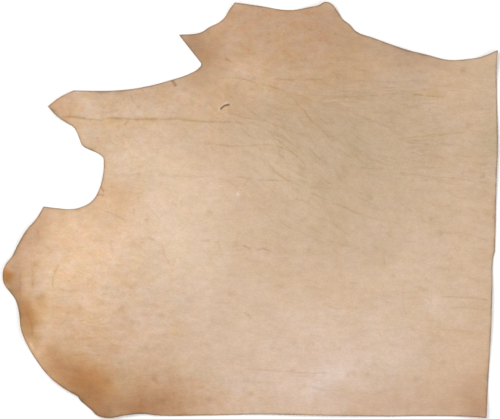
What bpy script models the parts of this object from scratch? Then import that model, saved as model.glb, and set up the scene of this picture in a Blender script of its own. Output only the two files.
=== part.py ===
"""A side of natural vegetable-tanned cowhide, cut square at the back and along the spine.

One sheet of leather, grain side up, lying on a flat surface. Its belly edge ripples, the shank, flap and
corners lift, and soft swells run between the neck wrinkles. Elsewhere the flesh side lies flat at Z = 0.

Metres, +Z up. The origin is the middle of the hide's bounding box, on the surface that it lies on.
+X runs from the belly tip to the spine cut, and +Y from the back cut to the shank.
"""

import math

import bmesh
import bpy
from mathutils import Vector

# Driving dimensions
HIDE_LENGTH = 0.990
HIDE_WIDTH = 0.832
LEATHER_THICKNESS = 0.003

# Fineness of the sheet's surface
PANEL = 0.0125
OUTLINE_STEPS = 4
CLOSEST_POINTS = 0.0022
MM = 0.001

LEATHER_COLOUR = (0.63, 0.44, 0.30, 1.0)
LEATHER_ROUGHNESS = 0.6

CORNER = "VECTOR"
SMOOTH = "AUTO"

# The cut line, clockwise from the shank's left corner: x and y in millimetres, and how the line turns there.
OUTLINE = {
    "shank end": (
        (-31, 415, CORNER), (20, 408, SMOOTH), (79, 400, SMOOTH), (118, 406, SMOOTH),
        (137, 410, SMOOTH), (149, 416, SMOOTH), (161, 413, SMOOTH),
    ),
    "neck line": (
        (173, 399, SMOOTH), (186, 381, SMOOTH), (199, 371, SMOOTH), (211, 358, SMOOTH),
        (244, 345, SMOOTH), (319, 319, SMOOTH), (356, 310, SMOOTH), (386, 302, SMOOTH),
        (404, 300, SMOOTH), (435, 302, SMOOTH), (460, 306, SMOOTH), (495, 320, CORNER),
    ),
    "spine cut": (
        (493, 300, SMOOTH), (493, 240, SMOOTH), (495, 124, SMOOTH), (493, 74, SMOOTH),
        (490, -50, SMOOTH), (489, -83, CORNER), (486, -94, SMOOTH), (484, -160, SMOOTH),
        (480, -270, SMOOTH), (476, -336, SMOOTH), (472, -416, CORNER),
    ),
    "back cut": (
        (447, -414, SMOOTH), (349, -412, SMOOTH), (276, -413, CORNER), (189, -412, SMOOTH),
        (84, -410, SMOOTH), (23, -409, SMOOTH), (-101, -411, SMOOTH), (-187, -411, SMOOTH),
        (-215, -408, SMOOTH), (-251, -411, SMOOTH), (-285, -416, SMOOTH),
    ),
    "belly edge": (
        (-308, -410, SMOOTH), (-317, -401, SMOOTH), (-329, -391, SMOOTH), (-341, -380, SMOOTH),
        (-345, -373, CORNER), (-361, -364, SMOOTH), (-378, -353, SMOOTH), (-401, -334, SMOOTH),
        (-426, -304, SMOOTH), (-445, -272, SMOOTH), (-458, -240, SMOOTH), (-463, -204, SMOOTH),
        (-470, -180, SMOOTH), (-480, -165, SMOOTH), (-492, -148, SMOOTH), (-495, -132, SMOOTH),
        (-491, -112, SMOOTH), (-476, -91, SMOOTH), (-465, -69, SMOOTH), (-447, -39, SMOOTH),
        (-428, -17, SMOOTH), (-414, 7, CORNER),
    ),
    "armpit hollow": (
        (-390, 4, SMOOTH), (-357, 2, SMOOTH), (-341, 5, SMOOTH), (-317, 18, SMOOTH),
        (-304, 37, SMOOTH), (-295, 66, SMOOTH), (-292, 100, SMOOTH), (-295, 107, CORNER),
        (-305, 114, SMOOTH), (-321, 120, SMOOTH), (-336, 129, SMOOTH), (-341, 140, SMOOTH),
        (-347, 155, SMOOTH), (-354, 166, SMOOTH),
    ),
    "leg tip": (
        (-365, 173, SMOOTH), (-386, 187, SMOOTH), (-405, 207, CORNER), (-380, 226, SMOOTH),
        (-354, 239, CORNER), (-257, 240, SMOOTH), (-204, 248, SMOOTH), (-159, 260, SMOOTH),
    ),
    "flap": (
        (-121, 273, SMOOTH), (-103, 284, SMOOTH), (-98, 292, SMOOTH), (-102, 298, SMOOTH),
        (-143, 350, CORNER), (-100, 355, SMOOTH), (-82, 366, SMOOTH), (-62, 376, SMOOTH),
        (-51, 386, SMOOTH), (-42, 401, SMOOTH),
    ),
}

# Where the hide stands off the surface: centre x and y, reach along and across, in millimetres, then the
# direction of its long way in degrees from +X, and its height in millimetres.
LIFTS = {
    "belly ripple low": (-396, -374, 92, 66, 130, 12.0),
    "belly ripple middle": (-474, -238, 72, 70, 104, 14.0),
    "belly tip curl": (-516, -130, 66, 66, 90, 17.0),
    "belly ripple high": (-466, -42, 76, 60, 58, 11.0),
    "rump corner": (-268, -440, 116, 70, 4, 9.0),
    "belly sag": (-352, -198, 112, 66, 76, 4.0),
    "leg tip curl": (-438, 208, 110, 78, 8, 19.0),
    "leg upper edge": (-228, 272, 118, 50, 8, 6.0),
    "hollow lip": (-268, 62, 96, 48, 84, 5.5),
    "flap curl": (-164, 368, 92, 70, 128, 18.0),
    "shank left lift": (-34, 434, 88, 66, 150, 11.0),
    "shank right lift": (152, 438, 80, 70, 30, 15.0),
    "neck line ripple": (300, 352, 128, 52, 162, 8.5),
    "neck corner curl": (522, 332, 96, 82, 40, 12.0),
    "spine ripple": (514, 96, 136, 50, 92, 5.0),
    "spine low ripple": (502, -208, 124, 48, 88, 6.0),
    "back corner curl": (494, -442, 104, 78, 140, 10.0),
    "back ripple": (128, -432, 180, 50, 0, 4.5),
    "fold swell above": (-150, 208, 190, 36, -2, 3.4),
    "fold swell below": (-196, 148, 150, 32, -1, 2.4),
    "wrinkle swell one": (74, 214, 150, 30, -14, 2.8),
    "wrinkle swell two": (92, 132, 176, 34, -38, 3.6),
    "wrinkle swell three": (4, 84, 170, 34, -34, 2.8),
    "wrinkle swell four": (208, 92, 170, 34, -32, 3.2),
    "wrinkle swell five": (330, 186, 150, 36, 6, 2.6),
    "wrinkle swell six": (322, 20, 160, 40, -18, 2.4),
    "wrinkle swell seven": (150, -20, 170, 44, -28, 2.0),
}


def start_scene():
    """An empty scene, with one collection for the hide and one for its cutting guide."""
    for item in list(bpy.data.objects):
        bpy.data.objects.remove(item)
    collections = []
    for name in ("leather_side_parts", "cutting_guides"):
        collection = bpy.data.collections.new(name)
        bpy.context.scene.collection.children.link(collection)
        collections.append(collection)
    return collections


def outline_curve(collection):
    """The cut line as a closed, filled 2D curve. It's a guide, and stays out of the render."""
    points = [point for stretch in OUTLINE.values() for point in stretch]
    curve = bpy.data.curves.new("cut_line", "CURVE")
    curve.dimensions = "2D"
    curve.fill_mode = "BOTH"
    curve.resolution_u = OUTLINE_STEPS
    spline = curve.splines.new("BEZIER")
    spline.bezier_points.add(len(points) - 1)
    spline.use_cyclic_u = True
    for bezier_point, (x, y, turn) in zip(spline.bezier_points, points):
        bezier_point.co = (x * MM, y * MM, 0)
        bezier_point.handle_left_type = turn
        bezier_point.handle_right_type = turn
    guide = bpy.data.objects.new("cut_line", curve)
    guide.hide_render = True
    guide.display_type = "WIRE"
    collection.objects.link(guide)
    return guide


def flat_cut(guide):
    """The hide as one flat face inside the cut line, centred on the origin at its driving size."""
    bpy.context.view_layer.update()
    graph = bpy.context.evaluated_depsgraph_get()
    mesh = bpy.data.meshes.new_from_object(guide.evaluated_get(graph))
    sheet = bmesh.new()
    sheet.from_mesh(mesh)
    bpy.data.meshes.remove(mesh)
    bmesh.ops.remove_doubles(sheet, verts=sheet.verts, dist=CLOSEST_POINTS)
    bmesh.ops.dissolve_faces(sheet, faces=sheet.faces)
    low = Vector(min(v.co[axis] for v in sheet.verts) for axis in range(3))
    high = Vector(max(v.co[axis] for v in sheet.verts) for axis in range(3))
    bmesh.ops.translate(sheet, verts=sheet.verts, vec=-(low + high) / 2)
    size = high - low
    stretch = Vector((HIDE_LENGTH / size.x, HIDE_WIDTH / size.y, 1))
    bmesh.ops.scale(sheet, verts=sheet.verts, vec=stretch)
    return sheet


def rule_into_panels(sheet):
    """Cuts the flat face along a square net of lines, so that it can bend."""
    cut_line_points = sheet.verts[:]
    for axis, length in ((Vector((1, 0, 0)), HIDE_LENGTH), (Vector((0, 1, 0)), HIDE_WIDTH)):
        lines = math.ceil(length / PANEL)
        for line in range(1, lines):
            place = axis * (line * length / lines - length / 2)
            everything = sheet.verts[:] + sheet.edges[:] + sheet.faces[:]
            bmesh.ops.bisect_plane(sheet, geom=everything, plane_co=place, plane_no=axis)
    join_close_points(sheet, rim_points(sheet), cut_line_points)
    bmesh.ops.remove_doubles(sheet, verts=rim_points(sheet), dist=CLOSEST_POINTS)
    join_close_points(sheet, sheet.verts[:], rim_points(sheet))
    bmesh.ops.dissolve_degenerate(sheet, dist=CLOSEST_POINTS / 2, edges=sheet.edges)


def rim_points(sheet):
    """The sheet's points that lie on the cut line."""
    return [v for v in sheet.verts if v.is_boundary]


def join_close_points(sheet, points, kept):
    """Joins points that the net left too close together, onto the kept ones where there is one."""
    close = bmesh.ops.find_doubles(sheet, verts=points, keep_verts=kept, dist=CLOSEST_POINTS)
    bmesh.ops.weld_verts(sheet, targetmap=close["targetmap"])


def lift_at(x, y):
    """How far the flesh side stands off the surface at a point, as the sum of the lifts that reach it."""
    height = 0.0
    for centre_x, centre_y, along, across, turn, top in LIFTS.values():
        east = x - centre_x * MM
        north = y - centre_y * MM
        cosine = math.cos(math.radians(turn))
        sine = math.sin(math.radians(turn))
        far = ((east * cosine + north * sine) / (along * MM)) ** 2
        far += ((north * cosine - east * sine) / (across * MM)) ** 2
        if far < 1:
            height += top * MM * (1 - far) ** 2
    return height


def leather_material():
    """Undyed vegetable-tanned leather, a pale pinkish tan."""
    material = bpy.data.materials.new("natural_leather")
    material.use_nodes = True
    shader = material.node_tree.nodes["Principled BSDF"]
    shader.inputs["Base Color"].default_value = LEATHER_COLOUR
    shader.inputs["Roughness"].default_value = LEATHER_ROUGHNESS
    shader.inputs["Metallic"].default_value = 0.0
    return material


def leather_side(collection, guide):
    """The hide: the flat cut laid in its ripples, with its thickness above the flesh side."""
    sheet = flat_cut(guide)
    rule_into_panels(sheet)
    for vertex in sheet.verts:
        vertex.co.z = lift_at(vertex.co.x, vertex.co.y)
    bmesh.ops.triangulate(sheet, faces=sheet.faces, quad_method="BEAUTY")
    bmesh.ops.recalc_face_normals(sheet, faces=sheet.faces)
    if sum(face.normal.z for face in sheet.faces) < 0:
        bmesh.ops.reverse_faces(sheet, faces=sheet.faces)
    mesh = bpy.data.meshes.new("leather_side")
    sheet.to_mesh(mesh)
    sheet.free()
    mesh.shade_smooth()
    mesh.materials.append(leather_material())
    hide = bpy.data.objects.new("leather_side", mesh)
    collection.objects.link(hide)
    body = hide.modifiers.new("leather_thickness", "SOLIDIFY")
    body.thickness = LEATHER_THICKNESS
    body.offset = 1.0
    return hide


def main():
    hide_parts, guides = start_scene()
    guide = outline_curve(guides)
    leather_side(hide_parts, guide)


main()
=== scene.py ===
# A side of natural vegetable-tanned leather, grain side up, seen from straight above.
import math
import random

import bpy
import numpy as np
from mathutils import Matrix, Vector, noise
from mathutils.geometry import delaunay_2d_cdt
from mathutils.kdtree import KDTree


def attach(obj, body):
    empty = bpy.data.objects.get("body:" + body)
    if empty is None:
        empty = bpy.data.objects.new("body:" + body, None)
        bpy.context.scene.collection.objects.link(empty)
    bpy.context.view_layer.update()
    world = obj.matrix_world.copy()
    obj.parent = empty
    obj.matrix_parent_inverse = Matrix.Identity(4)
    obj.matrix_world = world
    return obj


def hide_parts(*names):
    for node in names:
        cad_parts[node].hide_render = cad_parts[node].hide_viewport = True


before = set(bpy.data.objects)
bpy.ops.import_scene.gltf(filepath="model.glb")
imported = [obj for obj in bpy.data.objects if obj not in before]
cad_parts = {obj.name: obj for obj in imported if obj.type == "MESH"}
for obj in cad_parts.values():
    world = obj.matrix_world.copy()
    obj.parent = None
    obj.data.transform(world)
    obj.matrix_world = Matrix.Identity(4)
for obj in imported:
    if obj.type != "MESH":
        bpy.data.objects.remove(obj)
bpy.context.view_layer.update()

mm = 0.001

# the view from above: 2 mm of hide to each pixel of the picture
viewFromAbove = {
    "lens": 260,
    "sensor": 36,
    "pictureWidth": 1.0,
    "over": (-0.0008, 0.0010),
    "grainHeight": 0.003,
    "farthest": 60,
}

studioLight = {
    "worldColour": (1.0, 1.0, 1.0),
    "worldStrength": 0.67,
    "keyPlace": (-1.35, 1.1, 2.75),
    "keySize": 2.0,
    "keyPower": 53,
    "fillPlace": (1.4, -1.0, 2.85),
    "fillSize": 2.4,
    "fillPower": 22,
    "floorColour": (0.95, 0.95, 0.95),
    "floorRoughness": 0.8,
    "floorShine": 0.1,
    "floorSize": 14,
    "floorDrop": 0.0003,    # keeps it just under the flesh side
}

# the hide's own sizes: lengths in mm
hide = {
    "length": 990,
    "width": 832,
    "thickness": 3.0,
    "flatArea": 0.654,      # square metres
    "curveSteps": 10,       # between two of the cut line's knots
    "cutStep": 2.8,         # between points along the cut line
    "grainStep": 4.9,       # between points of the plain grain
    "fleshStep": 10.5,      # between points of the flesh side
    "rimRows": ((1.3, 1.196), (3.4, 1.8)),      # rows of points inside the cut line, and their gaps
    "rimRound": 0.32,       # how far the knife's upper edge has rounded down
    "rimRoundIn": 0.8,      # how far inwards, as a share of that
    "wallRows": (0.34, 0.84),                   # rows of points up the cut edge
    "wallRough": (0.10, 3.1),                   # how rough the cut edge is, and over what length
    "unevenness": 0.16,     # how much the thickness wanders
    "unevenWaves": ((1.0, 38, 5), (0.6, 15, 6)),    # share, length and seed of each wave of it
    "smoothAngle": 48,      # degrees
}

# the cut line, clockwise from the shank's left corner: x and y, and c at a corner
cutLine = {
    "shankEnd": [(-31, 415, "c"), (20, 408), (79, 400), (118, 406), (137, 410), (149, 416), (161, 413)],
    "neckLine": [(173, 399), (186, 381), (199, 371), (211, 358), (244, 345), (319, 319), (356, 310),
        (386, 302), (404, 300), (435, 302), (460, 306), (495, 320, "c")],
    "spineCut": [(493, 300), (493, 240), (495, 124), (493, 74), (490, -50), (489, -83, "c"), (486, -94),
        (484, -160), (480, -270), (476, -336), (472, -416, "c")],
    "backCut": [(447, -414), (349, -412), (276, -413, "c"), (189, -412), (84, -410), (23, -409), (-101, -411),
        (-187, -411), (-215, -408), (-251, -411), (-285, -416)],
    "bellyEdge": [(-308, -410), (-317, -401), (-329, -391), (-341, -380), (-345, -373, "c"), (-361, -364),
        (-378, -353), (-401, -334), (-426, -304), (-445, -272), (-458, -240), (-463, -204), (-470, -180),
        (-480, -165), (-492, -148), (-495, -132), (-491, -112), (-476, -91), (-465, -69), (-447, -39),
        (-428, -17), (-414, 7, "c")],
    "armpitHollow": [(-390, 4), (-357, 2), (-341, 5), (-317, 18), (-304, 37), (-295, 66), (-292.5, 92),
        (-293.5, 105, "c"), (-307, 114.5), (-321, 120.5), (-336, 129), (-341, 140), (-347, 155), (-354, 166)],
    "legTip": [(-365, 173), (-386, 187), (-405, 207, "c"), (-380, 226), (-354, 239, "c"), (-257, 240),
        (-204, 248), (-159, 260)],
    "flap": [(-121, 273), (-103, 284), (-98, 292), (-102, 298), (-143, 350, "c"), (-100, 355), (-82, 366),
        (-62, 376), (-51, 386), (-42, 401)],
}

# where the hide stands off the floor: centre x and y, reach along and across, turn of its long way, height
lifts = {
    "bellyRippleLow": (-396, -374, 92, 66, 130, 12.0),
    "bellyRippleMiddle": (-474, -238, 72, 70, 104, 14.0),
    "bellyTipCurl": (-516, -130, 66, 66, 90, 17.0),
    "bellyRippleHigh": (-466, -42, 76, 60, 58, 11.0),
    "rumpCorner": (-268, -440, 116, 70, 4, 9.0),
    "bellySag": (-352, -198, 112, 66, 76, 4.0),
    "legTipCurl": (-438, 208, 110, 78, 8, 19.0),
    "legUpperEdge": (-228, 272, 118, 50, 8, 6.0),
    "hollowLip": (-268, 62, 96, 48, 84, 5.5),
    "flapCurl": (-164, 368, 92, 70, 128, 18.0),
    "shankLeftLift": (-34, 434, 88, 66, 150, 11.0),
    "shankRightLift": (152, 438, 80, 70, 30, 15.0),
    "neckLineRipple": (300, 352, 128, 52, 162, 8.5),
    "neckCornerCurl": (522, 332, 96, 82, 40, 12.0),
    "spineRipple": (514, 96, 136, 50, 92, 5.0),
    "spineLowRipple": (502, -208, 124, 48, 88, 6.0),
    "backCornerCurl": (494, -442, 104, 78, 140, 10.0),
    "backRipple": (128, -432, 180, 50, 0, 4.5),
    "foldSwellAbove": (-150, 208, 190, 36, -2, 3.4),
    "foldSwellBelow": (-196, 148, 150, 32, -1, 2.4),
    "wrinkleSwellOne": (74, 214, 150, 30, -14, 2.8),
    "wrinkleSwellTwo": (92, 132, 176, 34, -38, 3.6),
    "wrinkleSwellThree": (4, 84, 170, 34, -34, 2.8),
    "wrinkleSwellFour": (208, 92, 170, 34, -32, 3.2),
    "wrinkleSwellFive": (330, 186, 150, 36, 6, 2.6),
    "wrinkleSwellSix": (322, 20, 160, 40, -18, 2.4),
    "wrinkleSwellSeven": (150, -20, 170, 44, -28, 2.0),
}

# the main creases, tanned ochre: half width, depth, how dark, then the points they run through
creases = {
    "legFold": (1.7, 0.5, 1.0, [(-381, 186), (-355, 186), (-327, 182), (-303, 180), (-278, 184), (-259, 183),
        (-219, 181), (-185, 181), (-149, 182), (-101, 177), (-57, 176), (-5, 173)]),
    "legFoldTip": (2.0, 0.6, 1.12, [(-384, 186), (-355, 186), (-339, 184), (-324, 182)]),
    "legFoldKnee": (1.9, 0.55, 1.25, [(-281, 184), (-259, 183), (-252, 183)]),
    "legFoldMiddle": (2.3, 0.6, 1.15, [(-239, 182), (-226, 181), (-213, 181), (-198, 182), (-181, 181)]),
    "legFoldRun": (1.8, 0.45, 1.1, [(-177, 182), (-149, 182), (-136, 181), (-101, 177), (-57, 176)]),
    "legFoldTail": (1.4, 0.2, 0.45, [(98, 174), (134, 175), (159, 175), (172, 176)]),
    "legFoldTick": (1.7, 0.35, 1.2, [(-254, 168), (-247, 175), (-238, 186)]),
    "neckLong": (1.5, 0.3, 0.76, [(-75, 262), (-37, 264), (-11, 261), (11, 255), (39, 247), (59, 241),
        (75, 235)]),
    "neckLongStart": (1.6, 0.35, 0.95, [(-23, 263), (-11, 261), (-1, 258), (13, 254)]),
    "neckLongMiddle": (1.6, 0.35, 0.9, [(31, 249), (49, 245), (61, 240)]),
    "neckLongEnd": (1.4, 0.22, 0.72, [(81, 232), (99, 229), (111, 224), (127, 216)]),
    "neckUpper": (1.5, 0.3, 0.98, [(45, 262), (65, 261), (79, 260), (95, 259)]),
    "neckUpperRun": (1.4, 0.25, 0.86, [(103, 261), (131, 262), (149, 262)]),
    "neckUpperTail": (1.4, 0.18, 0.5, [(169, 265), (195, 263)]),
    "neckUpperEnd": (1.3, 0.18, 0.42, [(199, 257), (259, 257), (309, 258), (339, 261), (355, 265),
        (373, 271)]),
    "neckTick": (1.3, 0.2, 0.5, [(21, 282), (45, 275)]),
    "neckRise": (1.4, 0.24, 0.6, [(97, 231), (139, 229), (189, 227), (227, 227), (259, 230), (299, 233),
        (329, 237), (363, 243), (391, 249), (423, 254), (441, 259)]),
    "neckKnot": (2.0, 0.35, 1.35, [(321, 230), (333, 231), (347, 229)]),
    "neckKnotTail": (1.8, 0.3, 0.65, [(350, 227), (371, 227), (379, 225), (391, 227)]),
    "neckFan": (1.3, 0.18, 0.42, [(401, 241), (429, 244), (459, 244), (491, 243)]),
    "spineOne": (1.3, 0.18, 0.42, [(405, 197), (425, 198), (459, 200), (487, 201)]),
    "spineTwo": (1.5, 0.25, 0.75, [(287, 141), (319, 145), (349, 148), (365, 151), (395, 153), (427, 156),
        (437, 160)]),
    "spineThree": (1.3, 0.2, 0.55, [(403, 109), (425, 108), (465, 107), (485, 109)]),
    "slantStart": (1.4, 0.24, 0.66, [(-53, 245), (-39, 235), (-19, 219), (-9, 209), (15, 187), (51, 169),
        (77, 158)]),
    "foldEndSlant": (1.5, 0.28, 0.62, [(-23, 166), (-9, 155), (3, 145), (17, 140)]),
    "slantLong": (1.5, 0.32, 0.55, [(15, 130), (23, 115), (31, 103), (39, 90), (49, 78), (65, 66), (83, 56),
        (99, 48), (111, 41)]),
    "slantLongMiddle": (1.6, 0.34, 0.62, [(33, 92), (49, 78), (65, 66), (83, 56), (99, 48)]),
    "slantLongRun": (1.7, 0.38, 0.85, [(117, 37), (129, 31), (143, 24), (157, 17)]),
    "slantLongEnd": (1.5, 0.28, 0.65, [(155, 18), (169, 12), (179, 9), (201, -1), (229, -12)]),
    "slantSecond": (1.5, 0.28, 0.8, [(-101, 135), (-51, 129), (-21, 127), (15, 130), (39, 130), (73, 121),
        (99, 103), (111, 89), (121, 78)]),
    "slantThird": (1.5, 0.26, 0.8, [(83, 226), (99, 207), (109, 197), (121, 181), (139, 165), (159, 143)]),
    "slantFourth": (1.4, 0.24, 0.74, [(201, 196), (227, 185), (259, 173), (275, 167), (295, 153),
        (311, 144)]),
    "slantSixth": (1.4, 0.24, 0.55, [(-17, 122), (-5, 113), (7, 103), (21, 97)]),
    "slantSeventh": (1.4, 0.22, 0.58, [(1, 16), (23, 0), (39, -16), (51, -32)]),
    "slantEighth": (1.4, 0.24, 0.58, [(57, -22), (79, -36), (95, -42), (117, -53)]),
    "slantEighthRun": (1.4, 0.22, 0.52, [(121, -57), (139, -62), (155, -72), (171, -84), (191, -97)]),
    "rightRun": (1.5, 0.28, 0.68, [(227, -11), (255, -20), (275, -22), (299, -28)]),
    "rightRunEnd": (1.4, 0.2, 0.5, [(297, -27), (307, -38), (321, -52)]),
    "spineFour": (1.5, 0.26, 0.72, [(379, 66), (399, 64), (435, 60), (447, 58)]),
    "spineFourEnd": (1.3, 0.18, 0.45, [(437, 60), (459, 56), (487, 54)]),
    "rumpRight": (1.6, 0.4, 1.05, [(381, -173), (403, -174), (425, -175), (454, -177), (482, -183)]),
    "rumpRightStart": (1.5, 0.22, 0.5, [(328, -174), (345, -174), (357, -177), (363, -185)]),
    "rumpRightLow": (1.4, 0.2, 0.55, [(397, -197), (432, -195), (453, -198), (477, -199)]),
    "rumpRightFaint": (1.4, 0.22, 0.62, [(364, -239), (388, -239), (425, -243), (461, -246), (479, -247)]),
    "rumpMiddle": (1.5, 0.26, 0.68, [(-12, -318), (37, -321), (70, -323), (103, -325), (125, -327),
        (146, -326), (170, -328)]),
    "arcBelly": (1.8, 0.35, 0.95, [(-380, -105), (-389, -120), (-394, -133), (-395, -149), (-390, -160)]),
    "arcBellyFoot": (1.6, 0.25, 0.55, [(-393, -151), (-372, -161), (-348, -161), (-338, -165)]),
    "arcUpper": (1.7, 0.25, 0.52, [(-203, -54), (-192, -61), (-181, -64), (-175, -76), (-172, -88),
        (-162, -107), (-154, -124)]),
    "arcUpperStart": (2.4, 0.25, 0.75, [(-205, -54), (-195, -60), (-186, -63)]),
    "flapDash": (2.0, 0.4, 1.0, [(-52, 304), (-46, 301), (-40, 297), (-33, 295)]),
    "flapLine": (1.3, 0.16, 0.4, [(-86, 300), (-64, 286), (-40, 278)]),
    "shankFaint": (1.4, 0.14, 0.3, [(20, 262), (60, 290), (120, 300), (200, 306)]),
}

# creases that stayed grey, written the same way
greyCreases = {
    "edgeNick": (2.4, 0.9, 2.6, [(-158, 262), (-153, 254), (-148, 246)]),
    "acrossTwo": (1.4, 0.2, 0.5, [(-292, 71), (-272, 70), (-261, 71), (-245, 70), (-224, 71), (-204, 68),
        (-161, 68), (-101, 67), (-63, 65)]),
    "acrossTwoDark": (1.7, 0.3, 1.0, [(-31, 66), (-14, 65), (5, 62)]),
    "acrossTwoRun": (1.6, 0.24, 0.9, [(13, 60), (49, 59), (58, 59)]),
    "acrossTwoEnd": (1.4, 0.18, 0.6, [(49, 59), (85, 58)]),
    "acrossTwoTick": (1.7, 0.24, 0.9, [(-14, 48), (-6, 59), (2, 69)]),
    "acrossTwoBranch": (1.4, 0.18, 0.65, [(-67, 65), (-45, 58), (-33, 50), (-23, 40)]),
    "lowerDash": (1.7, 0.35, 1.05, [(-15, -71), (-7, -75), (1, -79)]),
    "lowerDashSecond": (1.8, 0.36, 1.1, [(9, -80), (27, -78), (43, -83)]),
    "lowerDashRun": (1.4, 0.14, 0.5, [(-103, -62), (-87, -62), (-45, -64), (-27, -68)]),
    "lowerDashEnd": (1.4, 0.14, 0.35, [(41, -82), (59, -86), (81, -84)]),
    "thinSlant": (1.5, 0.18, 0.55, [(-218, 21), (-204, 7), (-188, -12), (-173, -30), (-167, -44)]),
    "thinBranch": (1.3, 0.14, 0.5, [(-183, -16), (-170, -7), (-157, -2)]),
    "uprightLong": (1.5, 0.18, 0.62, [(304, -142), (305, -166), (307, -190), (312, -216)]),
    "uprightShort": (1.7, 0.2, 0.6, [(270, -78), (267, -94), (271, -118)]),
    "comma": (2.0, 0.25, 0.85, [(-14, -204), (-3, -212), (3, -221)]),
    "lowerRun": (1.5, 0.2, 0.58, [(104, -153), (125, -155), (139, -158), (159, -160)]),
    "lowerRunRight": (1.5, 0.18, 0.75, [(196, -145), (219, -148)]),
}

# shorter creases: half width, depth and darkness, then where each runs
shortCreases = {
    "shoulder": ((1.4, 0.18, 0.58), [[(21, 212), (55, 203), (85, 193)], [(33, 200), (51, 191), (81, 181)],
        [(-43, 196), (-11, 185), (25, 181)], [(61, 160), (79, 157), (95, 153), (117, 146)],
        [(141, 212), (171, 203), (201, 199)], [(89, 138), (99, 129), (111, 122)], [(-158, 158), (-149, 140)],
        [(113, 45), (181, 43)]]),
    "shoulderDark": ((1.5, 0.26, 0.64), [[(91, 191), (101, 177), (109, 168), (117, 165)],
        [(33, 160), (47, 151), (61, 142)], [(115, 127), (125, 115), (135, 105), (161, 88)],
        [(169, 125), (183, 117), (205, 102)], [(101, 152), (117, 147)], [(-43, 175), (-3, 173)]]),
    "slant": ((1.4, 0.2, 0.6), [[(169, 82), (181, 59)], [(157, -12), (173, -32), (187, -42), (201, -56)],
        [(83, 25), (109, 16), (133, 7)], [(127, 21), (143, 6)], [(153, -60), (201, -75)],
        [(41, -38), (59, -52), (75, -64)], [(-67, -60), (-57, -83)], [(243, -65), (256, -80)],
        [(257, -27), (272, -39)], [(271, -45), (290, -61)], [(277, 8), (289, -4), (296, -20)],
        [(297, 13), (315, 4), (327, -6)], [(337, -11), (352, -26)]]),
    "right": ((1.4, 0.2, 0.5), [[(217, 200), (239, 195), (289, 194), (311, 191)],
        [(311, 139), (325, 129), (349, 121), (369, 117)], [(201, 157), (227, 135)],
        [(197, 122), (227, 115), (245, 109)], [(263, 108), (295, 101)], [(297, 106), (325, 101)],
        [(321, 98), (361, 95)], [(253, 98), (267, 91), (287, 89)], [(201, 95), (217, 82)],
        [(213, 86), (249, 82), (271, 84)], [(293, 79), (309, 72), (327, 70), (361, 66)],
        [(385, 45), (403, 32), (419, 24), (437, 23)], [(359, 10), (379, 8), (401, 6)], [(257, 18), (277, 15)],
        [(377, -46), (419, -46), (451, -54), (481, -65)], [(433, 1), (481, -8)]]),
    "hollow": ((1.5, 0.2, 0.7), [[(-243, 77), (-229, 84), (-215, 89)], [(-231, 32), (-214, 33)],
        [(-224, 29), (-223, 14)], [(-233, 4), (-233, -12)], [(-299, 1), (-284, -5), (-269, -11), (-245, -22)],
        [(-281, 47), (-263, 44)], [(-242, 236), (-235, 220), (-223, 207)], [(-139, 20), (-136, 0)]]),
    "shankMarks": ((2.2, 0.25, 0.75), [[(130, 380), (134, 368)], [(112, 361), (130, 360)],
        [(166, 354), (176, 350)], [(134, 340), (144, 337)], [(-88, 356), (-80, 352)], [(-14, 378), (-6, 374)],
        [(-46, 370), (-34, 365)], [(0, 310), (14, 314)]]),
    "hollowLip": ((1.8, 0.3, 1.8), [[(-312, 30), (-291, 30)], [(-301, 50), (-291, 36)]]),
    "lower": ((1.4, 0.16, 0.5), [[(-40, -128), (-47, -135), (-51, -147)], [(-74, -186), (-39, -186)],
        [(15, -140), (24, -147)], [(35, -149), (68, -154)],
        [(148, -188), (172, -197), (199, -194), (223, -200)], [(163, -210), (201, -215)],
        [(-23, -343), (33, -346), (65, -346)], [(104, -353), (125, -355), (153, -361), (199, -359)],
        [(301, -140), (323, -149)], [(353, -218), (368, -224)], [(433, -134), (461, -143), (481, -147)],
        [(317, -231), (345, -258)], [(346, -290), (372, -290)], [(275, -332), (303, -332)]]),
    "belly": ((1.6, 0.16, 0.52), [[(-347, -256), (-325, -257), (-307, -255), (-279, -258)],
        [(-322, -235), (-292, -228), (-272, -224)], [(-161, -230), (-145, -233)],
        [(-324, -139), (-326, -159)], [(-281, -56), (-276, -84)], [(-372, -292), (-330, -288), (-296, -292)],
        [(-344, -222), (-300, -216)], [(-330, -272), (-262, -270)]]),
    "bellyUpright": ((2.8, 0.3, 0.72), [[(-461, -122), (-461, -168)], [(-435, -116), (-435, -160)],
        [(-437, -222), (-437, -254)], [(-426, -36), (-424, -60), (-433, -73)]]),
}

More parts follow.
